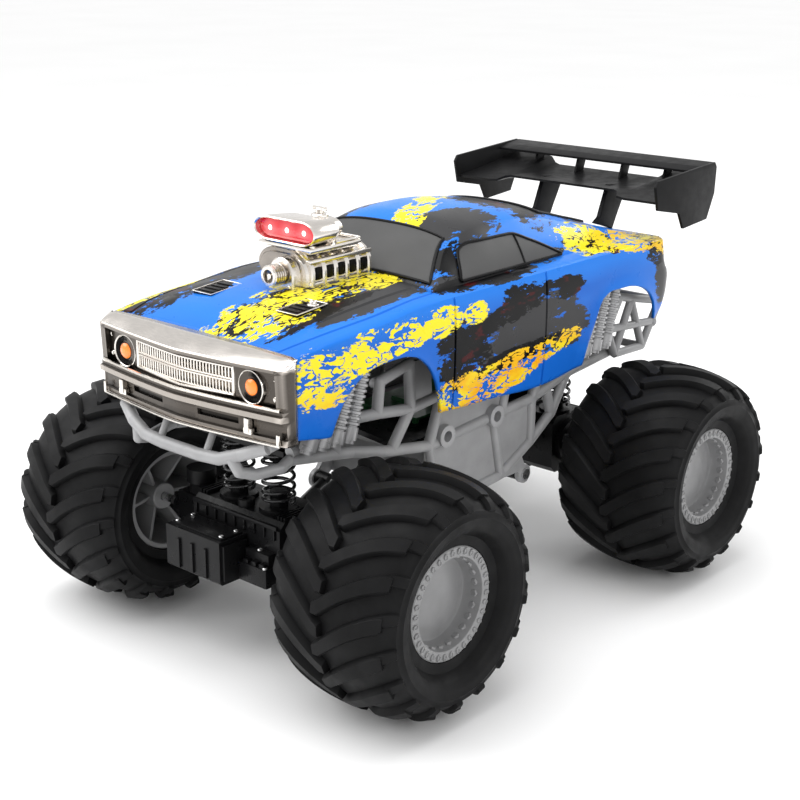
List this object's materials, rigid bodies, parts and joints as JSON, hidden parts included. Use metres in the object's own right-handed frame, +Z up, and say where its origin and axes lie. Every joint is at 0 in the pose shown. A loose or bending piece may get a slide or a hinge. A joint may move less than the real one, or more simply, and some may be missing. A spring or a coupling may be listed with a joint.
{
  "type": "rc monster truck",
  "caption": "Radio-controlled toy monster truck: muscle-car body on a tube frame, sprung solid axles, linked steering, lugged tyres, rear wing.",
  "frame": {"origin": "on the ground under the centre of the whole truck", "axes": "+X to the truck's left, -Y towards its nose, +Z up"},
  "size_m": [0.2994, 0.3984, 0.2434],
  "materials": {
    "tyre": "matt moulded rubber",
    "rim_grey": "satin",
    "frame_grey": "satin",
    "pipe_grey": "satin",
    "black_plastic": "satin",
    "body_paint": "gloss paint film",
    "glazing": "gloss",
    "bright_trim": "satin nickel plating",
    "grille_silver": "satin",
    "amber_lens": "clear coloured",
    "red_lens": "clear coloured",
    "lamp_glow": "lit",
    "wing_black": "matt",
    "spring_black": "gloss",
    "steel": "satin",
    "gear_nylon": "satin",
    "battery_sleeve": "gloss",
    "board_green": "satin"
  },
  "bodies": {
    "chassis": {"belly_tub": "frame_grey", "battery_door": "black_plastic", "battery_pack": "battery_sleeve", "chassis_deck": "black_plastic", "receiver_board": "board_green", "left_side_frame": "frame_grey", "right_side_frame": "frame_grey", "front_bumper_bar": "frame_grey", "rear_cage": "frame_grey", "front_ribbed_pipes": "pipe_grey", "rear_ribbed_pipes": "pipe_grey", "body_posts": "black_plastic", "frame_screws": "steel", "link_pins": "steel", "front_springs": "spring_black", "rear_springs": "spring_black", "body_shell": "body_paint", "window_glazing": "glazing", "front_fascia": "bright_trim", "grille_insert": "grille_silver", "lamp_bezels": "bright_trim", "lamp_lenses": "amber_lens", "blower_case": "bright_trim", "blower_snout": "bright_trim", "blower_cover": "bright_trim", "intake_scoop": "bright_trim", "scoop_lens": "red_lens", "scoop_lamps": "lamp_glow", "rear_wing": "wing_black", "upper_wing": "wing_black"},
    "switch_button": {"power_switch": "black_plastic"},
    "front_yoke": {"front_link_yoke": "black_plastic"},
    "front_axle": {"front_lower_case": "black_plastic", "front_upper_case": "black_plastic", "front_motor_cover": "black_plastic", "front_motor": "steel", "steering_servo": "black_plastic"},
    "front_pinion": {"front_motor_pinion": "gear_nylon"},
    "front_drive": {"front_drive_shaft": "gear_nylon"},
    "servo_arm": {"servo_horn": "black_plastic"},
    "steering_rod": {"tie_rod": "black_plastic"},
    "left_steer": {"left_knuckle": "black_plastic"},
    "right_steer": {"right_knuckle": "black_plastic"},
    "front_left_wheel": {"front_left_tyre": "tyre", "front_left_rim": "rim_grey", "left_stub_axle": "steel"},
    "front_right_wheel": {"front_right_tyre": "tyre", "front_right_rim": "rim_grey", "right_stub_axle": "steel"},
    "rear_yoke": {"rear_link_yoke": "black_plastic"},
    "rear_axle": {"rear_lower_case": "black_plastic", "rear_upper_case": "black_plastic", "rear_motor_cover": "black_plastic", "rear_motor": "steel"},
    "rear_pinion": {"rear_motor_pinion": "gear_nylon"},
    "rear_wheels": {"rear_axle_shaft": "gear_nylon", "rear_left_tyre": "tyre", "rear_left_rim": "rim_grey", "rear_right_tyre": "tyre", "rear_right_rim": "rim_grey"}
  },
  "joints": [
    {"name": "switch_slide", "type": "slide", "parent": "chassis", "child": "switch_button", "axis": [0, 1, 0], "range_m": [0, 0.004]},
    {"name": "front_suspension", "type": "hinge", "parent": "chassis", "child": "front_yoke", "pos_m": [0, -0.046, 0.062], "axis": [1, 0, 0], "range_deg": [-3, 3], "stiffness_Nm_per_rad": 9, "springref_deg": 3.44, "deforming": ["front_springs"]},
    {"name": "front_axle_roll", "type": "hinge", "parent": "front_yoke", "child": "front_axle", "pos_m": [0, -0.1042, 0.065], "axis": [0, 1, 0], "range_deg": [-3.5, 3.5], "stiffness_Nm_per_rad": 8},
    {"name": "steering", "type": "hinge", "parent": "front_axle", "child": "left_steer", "pos_m": [0.048, -0.1342, 0.065], "axis": [0, 0, 1], "range_deg": [-14, 14]},
    {"name": "right_steering", "type": "hinge", "parent": "front_axle", "child": "right_steer", "pos_m": [-0.048, -0.1342, 0.065], "axis": [0, 0, 1], "range_deg": [-14.5, 14.5]},
    {"name": "tie_rod_slide", "type": "slide", "parent": "front_axle", "child": "steering_rod", "axis": [1, 0, 0], "range_m": [-0.0056, 0.0056]},
    {"name": "servo_horn_turn", "type": "hinge", "parent": "front_axle", "child": "servo_arm", "pos_m": [0.028, -0.1012, 0.072], "axis": [0, 0, 1], "range_deg": [-29.5, 29.5]},
    {"name": "front_left_wheel_spin", "type": "hinge", "parent": "left_steer", "child": "front_left_wheel", "pos_m": [0.106, -0.1342, 0.065], "axis": [1, 0, 0], "continuous": true},
    {"name": "front_right_wheel_spin", "type": "hinge", "parent": "right_steer", "child": "front_right_wheel", "pos_m": [-0.106, -0.1342, 0.065], "axis": [1, 0, 0], "continuous": true},
    {"name": "front_drive_spin", "type": "hinge", "parent": "front_axle", "child": "front_drive", "pos_m": [0, -0.1342, 0.065], "axis": [1, 0, 0], "continuous": true},
    {"name": "front_pinion_spin", "type": "hinge", "parent": "front_axle", "child": "front_pinion", "pos_m": [0, -0.15356, 0.06], "axis": [1, 0, 0], "continuous": true},
    {"name": "rear_suspension", "type": "hinge", "parent": "chassis", "child": "rear_yoke", "pos_m": [0, 0.05, 0.06], "axis": [1, 0, 0], "range_deg": [-4, 4], "stiffness_Nm_per_rad": 5, "springref_deg": -4.01, "deforming": ["rear_springs"]},
    {"name": "rear_axle_roll", "type": "hinge", "parent": "rear_yoke", "child": "rear_axle", "pos_m": [0, 0.0797, 0.065], "axis": [0, 1, 0], "range_deg": [-3.5, 3.5], "stiffness_Nm_per_rad": 8},
    {"name": "rear_wheels_spin", "type": "hinge", "parent": "rear_axle", "child": "rear_wheels", "pos_m": [0, 0.1097, 0.065], "axis": [1, 0, 0], "continuous": true},
    {"name": "rear_pinion_spin", "type": "hinge", "parent": "rear_axle", "child": "rear_pinion", "pos_m": [0, 0.12906, 0.06], "axis": [1, 0, 0], "continuous": true}
  ],
  "couplings": [
    {"joint": "right_steering", "follows": "steering", "ratio": 1},
    {"joint": "tie_rod_slide", "follows": "steering", "m_per_rad": -0.022},
    {"joint": "servo_horn_turn", "follows": "steering", "ratio": -2.05},
    {"joint": "front_right_wheel_spin", "follows": "front_left_wheel_spin", "ratio": 1},
    {"joint": "front_drive_spin", "follows": "front_left_wheel_spin", "ratio": 1},
    {"joint": "front_pinion_spin", "follows": "front_left_wheel_spin", "ratio": -3},
    {"joint": "rear_pinion_spin", "follows": "rear_wheels_spin", "ratio": -3}
  ]
}
